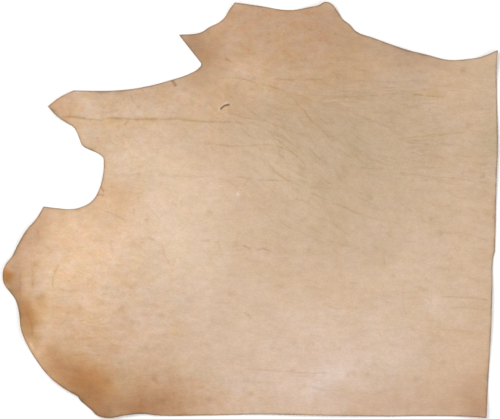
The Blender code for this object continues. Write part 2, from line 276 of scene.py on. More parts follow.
# small dark marks in the grain: x, y, half width, how dark
marks = {
    "neck": [(425, 279, 4.6, 1.6), (297, 288, 3, 0.8), (-31, 245, 3.5, 0.6), (-83, 214, 3.5, 0.6),
        (-100, 208, 2.6, 0.6), (-91, 206, 2.6, 0.6), (371, 252, 4.5, 0.6), (307, 202, 3, 0.6),
        (437, 168, 5, 0.8), (469, 92, 3.5, 0.6)],
    "leg": [(-365, 204, 3.5, 0.65), (-119, 212, 5, 0.85), (-130, 242, 4.5, 0.85), (-115, 235, 3.5, 0.6),
        (-224, 207, 3, 0.9), (-296, 184, 2.4, 0.8), (-319, 120, 4, 1.6)],
    "hollow": [(-377, -5, 6.5, 0.85), (-375, -18, 5.5, 0.75), (-224, 72, 3.4, 0.7), (-208, -20, 3.4, 1.2),
        (-269, -11, 3, 0.7)],
    "centre": [(-81, -4, 3.8, 0.85), (-25, -44, 3.5, 0.6), (3, -42, 4, 0.6), (105, -20, 4, 0.7),
        (-27, -68, 5.5, 0.6), (115, -78, 3.5, 0.6)],
    "right": [(462, 66, 2.6, 1.4), (467, 67, 2.4, 1.2), (241, 24, 3.2, 0.75), (361, -18, 4, 0.9),
        (303, -48, 3.2, 0.6), (213, -76, 3.5, 0.65), (381, -46, 4.2, 0.85), (395, -46, 3.2, 0.8),
        (389, -92, 3.2, 0.6), (401, -96, 3.5, 1), (415, -78, 4.5, 0.85), (419, -116, 4.5, 0.6),
        (286, -132, 2.8, 0.75), (474, -6, 4.5, 0.6)],
    "belly": [(-361, -80, 5, 0.6), (-234, -66, 6, 1), (-217, -66, 3.8, 0.85), (-290, -155, 3.8, 0.65),
        (-301, -182, 4, 0.85), (-296, -187, 3, 0.6), (-340, -197, 5, 0.9), (-365, -207, 3.5, 0.9),
        (-257, -198, 5.2, 1.2), (-178, -213, 4.5, 0.8), (-199, -189, 3.5, 0.6), (-189, -192, 3.5, 0.6),
        (-170, -250, 4.5, 0.6), (-368, -257, 4, 0.8), (-357, -253, 4, 0.8), (-402, -278, 4, 0.8),
        (-395, -276, 4, 0.8), (-363, -295, 3.5, 0.9), (-216, -278, 5, 0.8), (-209, -275, 3.5, 0.6),
        (-430, -107, 5.5, 1.3), (-421, -177, 5.5, 1.4), (-415, -172, 4.5, 1.2), (-428, -225, 3, 0.6),
        (-487, -142, 5, 0.8)],
    "rump": [(-39, -168, 4.5, 0.8), (-54, -206, 3.5, 0.6), (-77, -219, 3.5, 0.6), (-98, -270, 4, 0.8),
        (-88, -269, 4, 0.8), (43, -277, 3.5, 0.65), (59, -280, 3.5, 0.65), (86, -266, 3.5, 0.7),
        (178, -277, 3, 0.6), (85, -322, 4.5, 1.1), (149, -327, 3.2, 0.9), (195, -330, 4, 1),
        (109, -353, 3.5, 0.6), (2, -367, 3.8, 1.2), (-83, -379, 4.8, 0.8), (-95, -354, 2.8, 0.7),
        (-192, -337, 5, 1.1), (243, -270, 3.5, 0.6), (281, -284, 3.5, 0.6), (386, -305, 3.8, 0.8),
        (215, -306, 3.8, 0.6), (246, -308, 4.5, 0.6), (205, -326, 5, 0.7), (234, -329, 4, 0.9),
        (332, -338, 4.5, 1), (358, -319, 3, 0.6), (365, -250, 2.8, 0.6), (340, -156, 3.5, 0.75),
        (348, -160, 3.2, 0.7)],
}

# small pale places, written the same way
palePlaces = {
    "neck": [(-25, 282, 3, 1), (-37, 168, 6, 0.55), (-57, 250, 6, 0.55), (-60, 196, 5, 0.55),
        (-47, 203, 5, 0.55)],
    "leg": [(-329, 214, 8, 0.75), (-249, 191, 6, 0.9), (-221, 192, 5, 0.8), (-185, 198, 8, 0.6),
        (-245, 134, 5, 0.6), (-155, 217, 5, 0.6), (-160, 204, 5, 0.6), (-138, 232, 5, 0.6),
        (-127, 226, 5, 0.6)],
    "hollow": [(-355, -26, 7, 1), (-293, 22, 3, 0.8), (-283, 18, 4, 0.7)],
    "belly": [(-447, -126, 5, 0.8), (-447, -138, 5, 1), (-447, -150, 5.5, 1), (-451, -169, 7.5, 1.3),
        (-426, -200, 3.5, 0.8), (-426, -214, 3.5, 0.8), (-399, -231, 5, 0.6), (-410, -304, 6, 0.6),
        (-418, -272, 5, 0.7), (-374, -247, 3.5, 0.8), (-364, -245, 3.5, 0.7), (-202, -200, 4, 0.6),
        (-188, -202, 4, 0.6), (-155, -289, 4.5, 0.6), (-142, -291, 4.5, 0.6), (-130, -293, 4.5, 0.6),
        (-456, -88, 5, 0.6)],
    "rump": [(85, -308, 7, 0.7), (181, -332, 6, 0.7), (-43, -392, 6, 0.7), (-128, -392, 6, 0.6),
        (417, -388, 8, 0.6), (235, -299, 6, 0.6), (370, -181, 6, 0.8), (383, -249, 3, 1.2)],
    "right": [(352, -38, 6, 0.6), (-6, -87, 4, 0.6), (9, -90, 4.5, 0.7), (23, -94, 4.5, 0.75),
        (35, -98, 4.5, 0.7)],
}

# fields of finer wrinkles: centre, reach along and across, turn, then the wrinkles' turn, number, lengths
# and strength
wrinkleFields = {
    "neck": (250, 236, 290, 66, -4, -3, 84, (14, 74), 0.95),
    "slant": (100, 92, 200, 130, -30, -36, 130, (12, 64), 1.0),
    "flow": (330, 92, 180, 116, -6, -10, 84, (14, 70), 0.9),
    "shoulder": (-60, 190, 120, 70, -20, -26, 44, (12, 50), 0.8),
    "lowerRight": (350, -150, 150, 170, 0, -5, 56, (10, 50), 0.62),
    "lowerMiddle": (60, -170, 240, 120, 0, -8, 60, (10, 50), 0.6),
    "bellyStreaks": (-326, -266, 110, 60, 0, 1, 34, (12, 44), 0.55),
    "hollow": (-200, 6, 80, 90, 0, -46, 24, (10, 36), 0.6),
    "cross": (180, 130, 130, 90, 0, 50, 40, (8, 30), 0.7),
    "crossLower": (300, -60, 120, 90, 0, -62, 24, (8, 30), 0.6),
    "shank": (70, 330, 130, 60, 0, 4, 24, (12, 44), 0.45),
    "leg": (-240, 206, 110, 26, 0, -12, 18, (10, 36), 0.5),
    "knee": (0, 236, 150, 70, -8, -18, 76, (6, 26), 0.95),
    "rump": (-210, -360, 130, 50, 0, -4, 24, (8, 30), 0.6),
}

# pale cuts in the grain, and painted highlights along the scar's rim and the rolled belly edge
paleLines = {
    # the scar's pale rim is a painted highlight on the lit side of the cut
    "scarRimHighlight": (1.0, -0.2, 0.5, [(-65, 196.5), (-61.5, 202.5), (-55.5, 209.5), (-49, 213), (-42, 214)]),
    "fleckOne": (1.3, -0.1, 0.75, [(-27, 36), (-25, 32), (-23, 28)]),
    "fleckTwo": (1.0, -0.1, 0.22, [(-10, 35), (3, 24)]),
    # painted highlight on the rolled belly edge
    "rolledEdgeHighlight": (1.3, -0.1, 0.5, [(-442, -264), (-438, -271), (-434, -278)]),
}
# the scar's dark line is painted shade down in the cut
darkCuts = {
    "scarShade": (1.2, 0.9, 1.6, [(-61, 200), (-56, 205.5), (-50, 209), (-40, 211)]),
}

# soft stains and paler places, with painted shade below the leg fold and at the curled flap and leg tip, and
# a painted highlight on the rolled belly edge: centre x and y, reach along and across, turn, what red, green
# and blue keep
stainsAndShades = {
    "shank": (75, 374, 150, 74, 0, (0.85, 0.765, 0.7)),
    "shankEnd": (58, 407, 130, 22, 0, (0.935, 0.89, 0.845)),
    "shankCorner": (-46, 384, 40, 26, 55, (0.96, 0.92, 0.88)),
    "shankUnder": (60, 316, 150, 50, 0, (0.945, 0.915, 0.875)),
    "shankPale": (-72, 340, 44, 34, 0, (1.06, 1.085, 1.14)),
    # darker brown and painted shade where the flap curls up
    "flapDarkAndShade": (-110, 316, 66, 60, 130, (0.74, 0.66, 0.58)),
    "flap": (-66, 342, 90, 70, 20, (0.93, 0.87, 0.82)),
    "flapSpot": (-89, 310, 12, 14, 0, (1.0, 0.93, 0.82)),
    "neckEdge": (242, 336, 150, 42, -20, (0.815, 0.765, 0.71)),
    "neckEdgeEnd": (350, 312, 92, 26, -8, (0.9, 0.87, 0.86)),
    "neckOchre": (166, 290, 108, 60, -10, (0.91, 0.86, 0.775)),
    "neckHighPale": (16, 264, 84, 46, 14, (1.055, 1.03, 1.02)),
    "neckGrey": (116, 230, 256, 88, 0, (0.935, 0.905, 0.865)),
    "neckGreyRight": (302, 238, 80, 56, 0, (0.91, 0.93, 0.94)),
    "neckPaleRight": (196, 222, 40, 28, 0, (1.03, 1.05, 1.09)),
    "noseOchre": (104, 232, 40, 44, 0, (1.005, 0.96, 0.9)),
    "knotOchre": (374, 232, 20, 11, 0, (0.92, 0.88, 0.72)),
    "spinePale": (434, 246, 84, 58, 0, (1.01, 1.01, 0.98)),
    "spineEdge": (486, 130, 30, 70, 0, (0.9, 0.93, 0.9)),
    "spineRim": (482, 192, 40, 160, 0, (0.965, 0.975, 0.975)),
    "flowTan": (350, 141, 160, 66, 0, (0.93, 0.945, 0.935)),
    "greyNeck": (162, 112, 230, 138, -30, (0.895, 0.922, 0.898)),
    "greyNeckCore": (168, 138, 110, 100, -20, (0.965, 0.965, 0.96)),
    "slantPale": (66, 84, 96, 58, -50, (1.05, 1.07, 1.075)),
    "centreTan": (152, -54, 196, 58, -6, (0.955, 0.97, 0.965)),
    "legEdge": (-230, 236, 150, 34, 4, (0.9, 0.85, 0.8)),
    # warmer tone and painted shade where the leg tip curls up
    "legTipWarmAndShade": (-388, 206, 44, 36, 10, (0.98, 0.885, 0.79)),
    "legPale": (-316, 211, 120, 32, 0, (1.035, 1.06, 1.1)),
    # painted shade just below the leg fold
    "foldShadeBelow": (-300, 172, 150, 9, 0, (0.98, 0.94, 0.84)),
    "kneeTan": (-132, 150, 130, 54, -10, (0.955, 0.945, 0.925)),
    "kneeOchre": (-86, 246, 62, 28, -14, (0.97, 0.94, 0.885)),
    "scarOchre": (-54, 214, 64, 38, 0, (0.965, 0.925, 0.87)),
    "hollowEdge": (-290, 40, 40, 70, 84, (0.99, 0.93, 0.84)),
    "hollowPale": (-207, 92, 84, 46, -10, (1.05, 1.075, 1.09)),
    "paleLeft": (-176, 26, 190, 150, 70, (1.09, 1.11, 1.13)),
    "paleMiddle": (-128, -68, 136, 108, -50, (1.1, 1.15, 1.21)),
    "paleMiddleLow": (-92, -174, 116, 72, 0, (1.02, 1.035, 1.075)),
    "bellyWarm": (-340, -80, 140, 120, 60, (1.12, 1.02, 0.93)),
    "paleBelly": (-330, -106, 114, 104, 0, (1.08, 1.15, 1.22)),
    "bellyHighOchre": (-276, -15, 36, 52, 0, (0.97, 0.96, 0.91)),
    "bellyHighPale": (-372, -36, 42, 30, 0, (1.03, 1.05, 1.06)),
    "bellyEdgeUpper": (-438, -46, 68, 32, 56, (0.9, 0.81, 0.745)),
    "bellyTip": (-489, -138, 12, 19, 25, (0.8, 0.53, 0.22)),
    "bellyTipRound": (-476, -130, 60, 60, 90, (0.89, 0.8, 0.725)),
    "bellyTipPale": (-402, -136, 42, 40, 0, (1.065, 1.09, 1.11)),
    "bellyTipLow": (-462, -176, 46, 20, 104, (0.85, 0.78, 0.7)),
    "bellyEdgeDark": (-456, -222, 60, 34, 104, (0.76, 0.62, 0.43)),
    "bellyEdgeOchre": (-448, -216, 48, 17, 104, (0.95, 0.85, 0.72)),
    "bellyOchre": (-420, -202, 32, 46, 90, (1.05, 0.96, 0.79)),
    "bellySmudge": (-417, -192, 15, 14, 0, (0.9, 0.87, 0.77)),
    # painted highlight on the rolled belly edge
    "bellyRimHighlight": (-440, -268, 32, 13, 118, (1.15, 1.2, 1.27)),
    "bellyLeftPale": (-430, -262, 40, 46, 0, (1.1, 1.09, 1.08)),
    "bellyTan": (-344, -266, 74, 88, 0, (1.03, 0.955, 0.9)),
    "bellyStreakPale": (-324, -212, 60, 44, 0, (1.06, 1.07, 1.07)),
    "bellyRimPale": (-394, -330, 62, 22, 138, (1.07, 1.08, 1.08)),
    "bellyLowPale": (-340, -302, 50, 20, -32, (1.07, 1.13, 1.16)),
    "bellyLowDark": (-366, -330, 110, 50, 146, (0.79, 0.65, 0.48)),
    "bellyLowDarkSecond": (-320, -320, 80, 34, 170, (0.88, 0.76, 0.62)),
    "bellyLowOchre": (-314, -350, 52, 28, 156, (0.95, 0.82, 0.61)),
    "bellyLowReach": (-277, -278, 32, 20, 20, (0.965, 0.885, 0.82)),
    "bellyLowSpot": (-286, -338, 17, 14, 0, (0.93, 0.9, 0.82)),
    "bellyLowPink": (-240, -246, 62, 44, 0, (1.06, 1.03, 1.03)),
    "rumpKnot": (-153, -238, 16, 22, 0, (1.0, 0.95, 0.86)),
    "rumpOchreHigh": (-184, -320, 58, 56, 0, (0.945, 0.885, 0.845)),
    "rumpTan": (-222, -362, 120, 50, 0, (0.905, 0.84, 0.755)),
    "rumpCornerTan": (-230, -397, 66, 26, 0, (0.91, 0.855, 0.8)),
    "rumpDark": (-250, -400, 130, 40, 0, (0.78, 0.66, 0.54)),
    "rumpEdgeDark": (-330, -386, 60, 34, 136, (0.81, 0.7, 0.57)),
    "rumpWarm": (-150, -392, 120, 50, 0, (0.9, 0.8, 0.72)),
    "rumpCornerPink": (-276, -381, 32, 14, 0, (1.06, 1.1, 1.11)),
    "rumpTipDark": (-288, -404, 12, 8, 0, (0.88, 0.85, 0.8)),
    "paleLower": (60, -240, 260, 130, 0, (1.055, 1.08, 1.135)),
    "lilac": (64, -360, 160, 70, 4, (1.06, 1.085, 1.195)),
    "lilacHigh": (108, -246, 170, 50, 2, (1.035, 1.05, 1.095)),
    "palePatch": (150, -340, 60, 26, 30, (1.04, 1.1, 1.18)),
    "paleRump": (206, -326, 156, 88, 0, (1.07, 1.105, 1.205)),
    "lilacRight": (322, -306, 120, 58, -4, (1.01, 1.035, 1.08)),
    "paleRight": (353, -147, 124, 172, 0, (1.065, 1.095, 1.15)),
    "paleRightLow": (306, -214, 150, 40, 0, (1.02, 1.04, 1.06)),
    "rightLower": (424, -312, 112, 112, 0, (1.01, 0.97, 0.94)),
    "rumpRightWarm": (282, -390, 146, 36, 0, (0.955, 0.915, 0.92)),
    "cornerRight": (456, -384, 74, 64, 0, (0.865, 0.785, 0.73)),
    "cornerDark": (460, -400, 42, 30, 0, (0.925, 0.87, 0.84)),
}

# the dark grey line painted along the cut, partly the cut edge's own dark colour and partly painted shade:
# where it is strongest, then its reach, width and strength
cutLineShade = {
    "everywhere": (0, 0, 3000, 1.5, 1.0),
    "legUpperEdge": (-290, 240, 90, 2.2, 1.0),
    "legTip": (-392, 190, 36, 3.4, 1.0),
    "bellyTip": (-478, -160, 26, 2.6, 1.0),
    "bellyUpper": (-450, -60, 70, 2.4, 1.0),
    "bellyEdge": (-459, -208, 44, 2.8, 1.0),
    "bellyLowEdge": (-350, -374, 60, 2.4, 1.0),
    "rumpEdge": (-280, -412, 90, 2.8, 1.0),
    "armpitHollow": (-340, 4, 46, 2.8, 1.0),
    "spineUpper": (490, -30, 120, 2.2, 1.0),
    "spineLow": (478, -330, 120, 2.6, 1.0),
    "neckEdge": (300, 330, 160, 2.0, 1.0),
}

# creases with a soft ochre painted shade just below them
shadedCreases = ("legFold", "legFoldTip", "neckLong", "neckUpper", "neckUpperRun", "neckRise", "neckKnot",
               "neckKnotTail", "neckLongEnd", "spineTwo", "slantLongMiddle", "slantThird", "foldEndSlant")

# the grain's looks
grainLooks = {
    "tan": (0.545, 0.385, 0.262),       # colour of the plain grain
    "patchWander": 11,                  # mm that a patch's outline wanders
    "patchWaves": (46, 19, 0.5),        # mm of its long and short waves, and the share of the short ones
    "palest": 0.95,
    "creaseKeeps": (0.66, 0.56, 0.34),  # what the darkest crease keeps of the colour
    "greyKeeps": (0.64, 0.60, 0.52),    # the same for a grey one
    "lineShare": 0.62,                  # how much of that a crease of darkness 1 takes
    "fineShare": 0.40,                  # the same for a wrinkle too fine to model
    "markShare": 0.68,                  # the same for a small mark
    "markSpread": 1.2,                  # how soft the small marks are
    "shadeInCut": (0.11, 0.062, 0.026),    # painted shade down in a cut
    "paleLine": (0.82, 0.70, 0.55),
    "paleGain": (1.10, 1.12, 1.16),     # how much lighter a pale place is
    "shadeBelow": (3.8, 0.30, 2),             # the painted shade's width in crease widths, its share, mm that it lies below
    "shadeBelowKeeps": (0.95, 0.89, 0.72),
    "edgeKeeps": (0.50, 0.47, 0.40),    # what the line along the cut keeps
    "pore": (0.78, 0.68, 0.56),
    "poreShare": 0.28,
    "fleck": (0.93, 0.87, 0.80),
    # name, what its dark and its pale places keep, and how much of it the calm middle has
    "mottle": (("Clouds", (0.965, 0.955, 0.93), (1.03, 1.035, 1.055), 0.90),
               ("Tints", (1.013, 0.987, 0.918), (0.991, 1.011, 1.070), 0.55),
               ("Hues", (1.018, 0.980, 1.000), (0.982, 1.020, 1.000), 0.50),
               ("Blotches", (0.960, 0.948, 0.919), (1.036, 1.044, 1.063), 0.68),
               ("Speckle", (0.953, 0.952, 0.951), (1.040, 1.041, 1.040), 0.94)),
    "streaks": ((0.966, 0.955, 0.932), (1.029, 1.036, 1.051), 0.66),
    "grit": ((0.952, 0.950, 0.943), (1.035, 1.037, 1.040), 0.88),
    "loose": ((0.995, 0.955, 0.89), (1.005, 1.022, 1.05)),   # ochre and pale patches of the loose hide
    "roughness": (0.52, 0.68),
    "creaseRoughness": 0.10,            # added in the creases
    "shine": 0.32,
}
fleshLooks = {"light": (0.62, 0.48, 0.34), "dark": (0.47, 0.34, 0.22), "roughness": (0.86, 0.97),
              "fibreHeight": 0.0009}
edgeLooks = {"light": (0.40, 0.29, 0.20), "dark": (0.24, 0.165, 0.11), "roughness": (0.72, 0.90),
             "fibreHeight": 0.0006}
fibreLooks = {"shade": (0.84, 0.80, 0.74), "shadeShare": 0.5, "shine": 0.15}

# where the grain's finer patterns show: centre x and y, reach along and across, turn
grainAreas = {
    "neckLines": [(270, 226, 260, 80, -3), (350, 120, 170, 110, -6)],
    "slantLines": [(110, 100, 190, 130, -34), (-40, 190, 110, 70, -30)],
    "livelyGrain": [(-330, -190, 230, 260, 20), (-220, -380, 280, 110, 0), (20, 320, 270, 150, 0),
        (-250, 190, 260, 130, 0)],
    "looseHide": [(-360, -180, 150, 190, 20), (-230, -360, 160, 80, 0), (40, 360, 150, 70, 0),
        (-330, 214, 120, 44, 4)],
}

# noise seeds: the first one of each kind of line, and those of what isn't a line
seeds = {"creases": 0, "wrinkles": 11, "cuts": 90, "paleLines": 95, "greyCreases": 100, "shortCreases": 200,
         "stainsAndShades": (1, 2, 3, 4), "wall": 8, "edgeShade": 12}
breakShift = 3      # from a line's own seed to that of its breaks
seedGap = 7.31      # how far apart two seeds' noises lie

# how a crease runs: lengths in mm
creaseRun = {
    "step": 3.0,                    # between its points
    "waver": 0.9,                   # how far it strays from its line
    "waverLength": 16,
    "fade": (0.14, 0.8),            # the share of its length that fades out at each end, and how quickly
    "strength": (0.82, 0.5, 13),    # how strong it is, how much that changes, and over what length
    "strongest": 1.2,
}
cutRun = {"waver": 0.2, "step": 1.6}        # cuts and pale lines run straighter

# across a crease, in crease widths, but for the height of its shoulders, which is a share of its depth
creaseProfile = {"reach": 4.2, "shoulder": 0.28, "shoulderPlace": 2.5, "shoulderWidth": 1.2}

# rows of points along a crease: how far to its side in crease widths, and the gap that the points keep
creaseRows = ((0, 1.15), (1, 1.15), (-1, 1.15), (2.3, 1.9), (-2.3, 1.9))
# rings of points about a mark: how far out in mark widths, how many, and the gap
markRings = ((0.8, 6, 1.2), (1.7, 8, 2.0))
markPoint = (0.2, 1.2)      # its half length in mark widths, and the gap about its middle

# how the fine wrinkles grow: lengths in mm
wrinkleShape = {
    "seed": 41,
    "outward": 0.85,            # under 1 spreads them towards their field's rim
    "headingSpread": 5.5,       # degrees
    "bendSpread": 0.012,        # radians a stride
    "stride": 12,
    "stray": (0.10, 40),        # radians a stride, and over what length
    "power": (0.35, 1.0),
    "rimLoss": 0.45,            # how much weaker they are at their field's rim
    "width": (1.0, 1.4),
    "depth": 0.17,
    "dark": 0.62,
    "run": {"waver": 0.8, "step": 3.4},
    "rows": creaseRows[:3],
}

# the sheet's plain points: a net of near triangles, a little shaken
plainNet = {"seed": 7, "rowShare": 0.866, "shake": 0.14, "gapShare": 0.62}
joinWithin = 1e-4       # mm

patchFall = 1.9         # how far past its reach a patch fades out
cutShadeReach = 18          # mm
cutShadeRough = (0.45, 14)  # how uneven the painted line along the cut is, and over what length in mm
cutShadeSpread = 0.5        # mm added to its width


# the cut line and the lines in the grain
def makeActive(piece):
    bpy.ops.object.select_all(action="DESELECT")
    piece.select_set(True)
    bpy.context.view_layer.objects.active = piece


def turnOf(degrees):
    return math.cos(math.radians(degrees)), math.sin(math.radians(degrees))


def traceCutLine():
    # a 2D curve through the cut line's points, made a mesh, then walked at even steps
    points = [point for stretch in cutLine.values() for point in stretch]
    curve = bpy.data.curves.new("cutLine", "CURVE")
    curve.dimensions = "2D"
    curve.fill_mode = "NONE"
    curve.resolution_u = hide["curveSteps"]
    spline = curve.splines.new("BEZIER")
    spline.bezier_points.add(len(points) - 1)
    spline.use_cyclic_u = True
    for knot, (x, y, *corner) in zip(spline.bezier_points, points):
        knot.co = (x, y, 0)
        knot.handle_left_type = knot.handle_right_type = "VECTOR" if corner else "AUTO"
    guide = bpy.data.objects.new("cutLine", curve)
    bpy.context.scene.collection.objects.link(guide)
    makeActive(guide)
    bpy.ops.object.convert(target="MESH")
    mesh = guide.data
    walked = np.array([v.co.xy[:] for v in mesh.vertices])
    bpy.data.objects.remove(guide)
    bpy.data.meshes.remove(mesh)
    low, high = walked.min(0), walked.max(0)
    middle = (low + high) / 2
    grow = np.array([hide["length"], hide["width"]]) / (high - low)
    walked = (walked - middle) * grow
    corners = [(np.array([x, y]) - middle) * grow for x, y, *corner in points if corner]
    steps = np.linalg.norm(np.roll(walked, -1, 0) - walked, axis=1)
    along = np.concatenate([[0], np.cumsum(steps)])
    closed = np.vstack([walked, walked[:1]])
    count = round(along[-1] / hide["cutStep"])
    places = np.arange(count) * along[-1] / count
    even = np.stack([np.interp(places, along, closed[:, axis]) for axis in (0, 1)], 1)
    for corner in corners:
        even[np.argmin(np.linalg.norm(even - corner, axis=1))] = corner
    return even


def smoothLine(points, step):
    # Catmull-Rom through a crease's points, at even steps
    ends = [2 * np.array(points[0]) - points[1]] + [np.array(p, float) for p in points]
    ends.append(2 * np.array(points[-1], float) - points[-2])
    run = []
    for i in range(1, len(ends) - 2):
        a, b, c, d = ends[i - 1:i + 3]
        pieces = max(2, round(np.linalg.norm(c - b) / step))
        for k in range(pieces):
            t = k / pieces
            run.append(0.5 * (2 * b + (c - a) * t + (2 * a - 5 * b + 4 * c - d) * t * t
                              + (3 * b - a - 3 * c + d) * t ** 3))
    run.append(ends[-2])
    return np.array(run)


def wander(x, y, seed, size):
    # a smooth random value from -1 to 1 that changes over size mm
    return noise.noise(Vector((x / size, y / size, seed * seedGap)))


def drawLine(points, width, depth, dark, seed, waver=creaseRun["waver"], step=creaseRun["step"]):
    # one crease: where it runs, and how strong it is on the way, fading out at both ends
    run = smoothLine(points, step)
    away = np.gradient(run, axis=0)
    away = np.stack([-away[:, 1], away[:, 0]], 1) / np.linalg.norm(away, axis=1)[:, None]
    shift = np.array([wander(x, y, seed, creaseRun["waverLength"]) for x, y in run]) * waver
    run = run + away * shift[:, None]
    place = np.linspace(0, 1, len(run))
    fadeShare, fadeCurve = creaseRun["fade"]
    fade = np.clip(np.minimum(place, 1 - place) / fadeShare, 0, 1) ** fadeCurve
    usual, change, length = creaseRun["strength"]
    broken = np.array([usual + change * wander(x, y, seed + breakShift, length) for x, y in run])
    return {"run": run, "away": away, "strength": np.clip(fade * broken, 0, creaseRun["strongest"]),
            "width": width, "depth": depth, "dark": dark, "rows": creaseRows}


def growWrinkles():
    # short fine wrinkles that follow each field's way, all from one seed
    shape = wrinkleShape
    stride = shape["stride"]
    stray, strayLength = shape["stray"]
    dice = random.Random(shape["seed"])
    grown = []
    for cx, cy, along, across, turn, way, count, lengths, strong in wrinkleFields.values():
        cosine, sine = turnOf(turn)
        for number in range(count):
            out = math.sqrt(dice.random()) ** shape["outward"]
            angle = dice.uniform(0, 2 * math.pi)
            u, v = out * along * math.cos(angle), out * across * math.sin(angle)
            x, y = cx + u * cosine - v * sine, cy + u * sine + v * cosine
            heading = math.radians(way + dice.gauss(0, shape["headingSpread"]))
            bend = dice.gauss(0, shape["bendSpread"])
            length = dice.uniform(*lengths)
            points = []
            for _ in range(max(2, round(length / stride)) + 1):
                points.append((x, y))
                x, y = x + stride * math.cos(heading), y + stride * math.sin(heading)
                heading += bend + stray * wander(x, y, number, strayLength)
            power = strong * dice.uniform(*shape["power"]) * (1 - shape["rimLoss"] * out)
            line = drawLine(points, dice.uniform(*shape["width"]), shape["depth"] * power,
                            shape["dark"] * power, number + seeds["wrinkles"], **shape["run"])
            line["rows"] = shape["rows"]
            grown.append(line)
    return grown


def placeMarks(table, share=1.0):
    # round marks, each one a very short line
    placed = []
    for group in table.values():
        for x, y, width, dark in group:
            width *= grainLooks["markSpread"]
            half = markPoint[0] * width
            run = np.array([[x - half, y], [x + half, y]])
            placed.append({"run": run, "away": np.array([[0, 1], [0, 1]]), "strength": np.ones(2),
                           "width": width, "depth": 0.0, "dark": dark * share, "round": True})
    return placed


def readCreases(rows, firstSeed):
    return [drawLine(points, width, depth, dark, firstSeed + number)
            for number, (width, depth, dark, points) in enumerate(rows)]


def readCuts(table, seed):
    return [drawLine(points, width, depth, dark, seed, **cutRun)
            for width, depth, dark, points in table.values()]


def drawLines():
    # every line and mark of the grain, by the way it is coloured
    short = [(*looks, points) for looks, lines in shortCreases.values() for points in lines]
    lines = {
        "cuts": readCuts(darkCuts, seeds["cuts"]),
        "pale": readCuts(paleLines, seeds["paleLines"]),
        "ochre": readCreases(creases.values(), seeds["creases"]) + readCreases(short, seeds["shortCreases"]),
        "grey": readCreases(greyCreases.values(), seeds["greyCreases"]),
        "wrinkles": growWrinkles(),
        "darkMarks": placeMarks(marks, grainLooks["markShare"]),
        "paleMarks": placeMarks(palePlaces),
    }
    print("creases:", len(lines["ochre"]) + len(lines["grey"]), "marks:",
          len(lines["darkMarks"]) + len(lines["paleMarks"]), "wrinkles:", len(lines["wrinkles"]))
    return lines


def insideCut(cut, points):
    # True for each point that lies inside the cut line
    inside = np.zeros(len(points), bool)
    x, y = points[:, 0], points[:, 1]
    for (x1, y1), (x2, y2) in zip(cut, np.roll(cut, -1, 0)):
        if y1 != y2:
            crossed = ((y1 > y) != (y2 > y)) & (x < (x2 - x1) * (y - y1) / (y2 - y1) + x1)
            inside ^= crossed
    return inside


class PointSieve:
    # keeps points apart, the first come first served
    cell = 6    # mm, about the widest gap

    def __init__(self):
        self.cells = {}
        self.points = []

    def add(self, x, y, gap):
        column, row = int(x // self.cell), int(y // self.cell)
        for i in (column - 1, column, column + 1):
            for j in (row - 1, row, row + 1):
                for px, py in self.cells.get((i, j), ()):
                    if (px - x) ** 2 + (py - y) ** 2 < gap * gap:
                        return
        self.cells.setdefault((column, row), []).append((x, y))
        self.points.append((x, y))


def inwardFrom(cut):
    # the direction into the hide at each point of the cut line
    away = np.roll(cut, -1, 0) - np.roll(cut, 1, 0)
    return np.stack([away[:, 1], -away[:, 0]], 1) / np.linalg.norm(away, axis=1)[:, None]


def dropSlivers(triangles, rims):
    # a sliver over a nearly straight stretch of the cut has a side that is neither shared nor on the cut
    while True:
        sides = np.sort(triangles[:, [[0, 1], [1, 2], [2, 0]]], axis=2).reshape(-1, 2)
        pairs, back, uses = np.unique(sides, axis=0, return_inverse=True, return_counts=True)
        apart = pairs[:, 1] - pairs[:, 0]
        onCut = (pairs[:, 1] < rims) & ((apart == 1) | (apart == rims - 1))
        loose = ((uses == 1) & ~onCut)[back.ravel()].reshape(-1, 3).any(1)
        if not loose.any():
            return triangles
        triangles = triangles[~loose]


def rowsAlong(line):
    # the rows of points that carry one crease, or the rings that carry one mark
    if not line.get("round"):
        return [(line["run"] + line["away"] * side * line["width"], gap) for side, gap in line["rows"]]
    middle = line["run"].mean(0)
    rows = [(middle[None, :], markPoint[1])]
    for reach, count, gap in markRings:
        turns = np.arange(count) * 2 * math.pi / count + reach
        rows.append((middle + np.stack([np.cos(turns), np.sin(turns)], 1) * reach * line["width"], gap))
    return rows


def plainPoints(step):
    dice = random.Random(plainNet["seed"])
    shake, rise = plainNet["shake"], step * plainNet["rowShare"]
    net = []
    for j in range(math.ceil(hide["width"] / rise) + 1):
        for i in range(math.ceil(hide["length"] / step) + 1):
            x = (i + 0.5 * (j % 2)) * step - hide["length"] / 2 + dice.uniform(-shake, shake) * step
            y = j * step * plainNet["rowShare"] - hide["width"] / 2 + dice.uniform(-shake, shake) * step
            net.append((x, y))
    return np.array(net)


